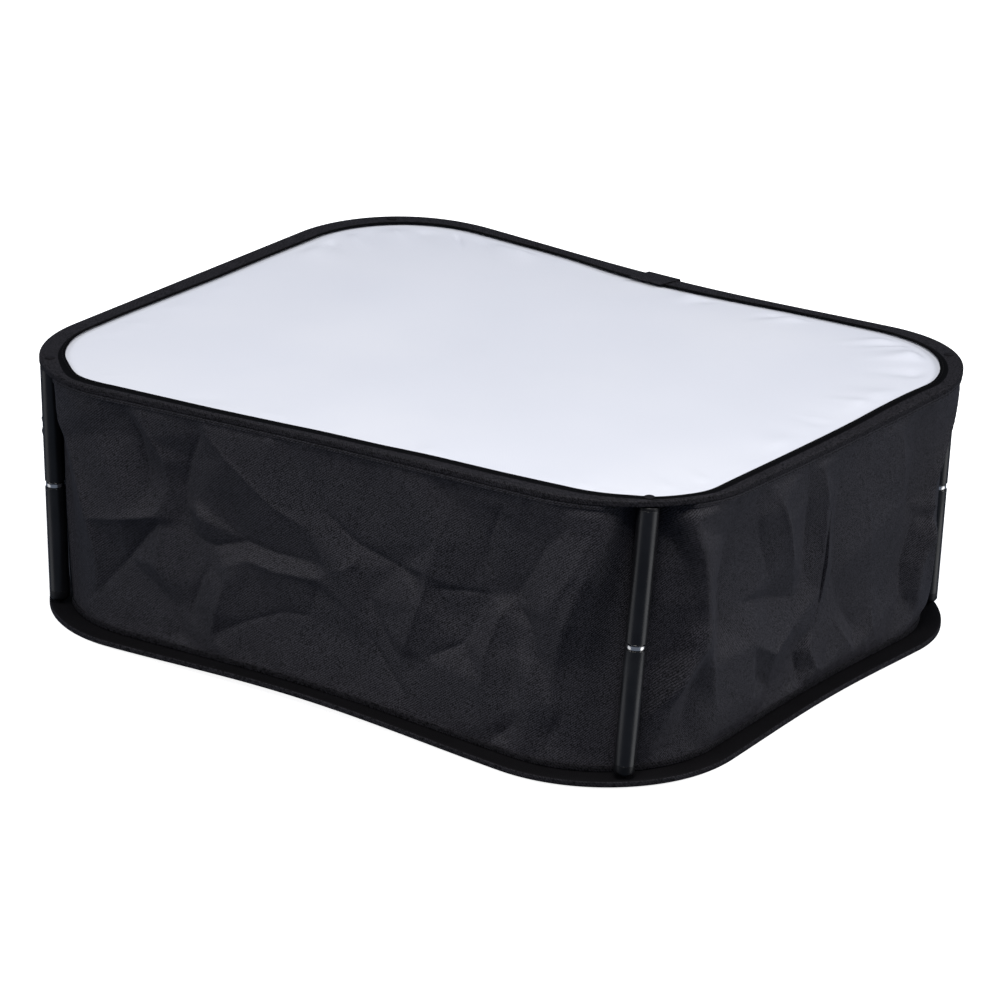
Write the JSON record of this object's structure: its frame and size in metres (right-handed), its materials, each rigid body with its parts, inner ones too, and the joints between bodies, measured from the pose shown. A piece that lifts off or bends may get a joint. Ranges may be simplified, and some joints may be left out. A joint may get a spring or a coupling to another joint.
{
  "type": "collapsible softbox",
  "caption": "Collapsible softbox for a flat light panel: white front diffuser, loose black walls, sprung cloth-covered loops held apart by outside corner rods.",
  "frame": {"origin": "middle of the part's footprint, on the floor that its rear loop lies on", "axes": "+Z towards the white front diffuser, +X along the long side, +Y towards the far long side in the picture"},
  "size_m": [0.3892, 0.324, 0.1404],
  "materials": {
    "black_cloth": "black twill, slight sheen",
    "black_binding": "black woven binding, matte",
    "white_diffuser": "smooth white diffusion cloth",
    "spring_steel": "bare spring steel",
    "bright_metal": "bright plated",
    "black_tube": "satin black anodised",
    "black_plug": "satin moulded",
    "black_rivet": "black painted",
    "black_elastic": "woven elastic"
  },
  "bodies": {
    "softbox": {"front_sleeve": "black_binding", "front_sleeve_overlap": "black_binding", "front_strip": "spring_steel", "front_strip_clip": "bright_metal", "front_hem": "black_binding", "diffuser": "white_diffuser", "near_wall": "black_cloth", "right_wall": "black_cloth", "far_wall": "black_cloth", "left_wall": "black_cloth", "rear_sleeve": "black_binding", "rear_strip": "spring_steel", "rear_strip_clip": "bright_metal", "rear_hem": "black_binding", "back_panel": "black_cloth", "opening_hem": "black_binding", "opening_elastic": "black_elastic", "near_left_front_rivet": "black_rivet", "near_left_rear_rivet": "black_rivet", "near_right_front_rivet": "black_rivet", "near_right_rear_rivet": "black_rivet", "far_right_front_rivet": "black_rivet", "far_right_rear_rivet": "black_rivet", "far_left_front_rivet": "black_rivet", "far_left_rear_rivet": "black_rivet"},
    "near_left_lower_half": {"near_left_foot_plug": "black_plug", "near_left_lower_tube": "black_tube", "near_left_joint_stud": "bright_metal"},
    "near_left_upper_half": {"near_left_upper_tube": "black_tube", "near_left_head_plug": "black_plug"},
    "near_right_lower_half": {"near_right_foot_plug": "black_plug", "near_right_lower_tube": "black_tube", "near_right_joint_stud": "bright_metal"},
    "near_right_upper_half": {"near_right_upper_tube": "black_tube", "near_right_head_plug": "black_plug"},
    "far_right_lower_half": {"far_right_foot_plug": "black_plug", "far_right_lower_tube": "black_tube", "far_right_joint_stud": "bright_metal"},
    "far_right_upper_half": {"far_right_upper_tube": "black_tube", "far_right_head_plug": "black_plug"},
    "far_left_lower_half": {"far_left_foot_plug": "black_plug", "far_left_lower_tube": "black_tube", "far_left_joint_stud": "bright_metal"},
    "far_left_upper_half": {"far_left_upper_tube": "black_tube", "far_left_head_plug": "black_plug"}
  },
  "joints": [
    {"name": "near_left_swing", "type": "hinge", "parent": "softbox", "child": "near_left_lower_half", "pos_m": [-0.16775, -0.13579, 0.00969], "axis": [0.7071, -0.7071, 0], "range_deg": [0, 75]},
    {"name": "near_left_twist", "type": "hinge", "parent": "near_left_lower_half", "child": "near_left_upper_half", "pos_m": [-0.169, -0.13738, 0.06528], "axis": [-0.0225, -0.0286, 0.9993], "range_deg": [0, 720]},
    {"name": "near_right_swing", "type": "hinge", "parent": "softbox", "child": "near_right_lower_half", "pos_m": [0.16778, -0.13533, 0.00968], "axis": [0.7071, 0.7071, 0], "range_deg": [0, 75]},
    {"name": "near_right_twist", "type": "hinge", "parent": "near_right_lower_half", "child": "near_right_upper_half", "pos_m": [0.16926, -0.13259, 0.06523], "axis": [0.0267, 0.0493, 0.9984], "range_deg": [0, 720]},
    {"name": "far_right_swing", "type": "hinge", "parent": "softbox", "child": "far_right_lower_half", "pos_m": [0.16771, 0.13574, 0.00969], "axis": [-0.7071, 0.7071, 0], "range_deg": [0, 75]},
    {"name": "far_right_twist", "type": "hinge", "parent": "far_right_lower_half", "child": "far_right_upper_half", "pos_m": [0.16858, 0.13684, 0.06531], "axis": [0.0156, 0.0199, 0.9997], "range_deg": [0, 720]},
    {"name": "far_left_swing", "type": "hinge", "parent": "softbox", "child": "far_left_lower_half", "pos_m": [-0.16772, 0.1357, 0.00969], "axis": [-0.7071, -0.7071, 0], "range_deg": [0, 75]},
    {"name": "far_left_twist", "type": "hinge", "parent": "far_left_lower_half", "child": "far_left_upper_half", "pos_m": [-0.16863, 0.13645, 0.06531], "axis": [-0.0165, 0.0136, 0.9998], "range_deg": [0, 720]}
  ]
}
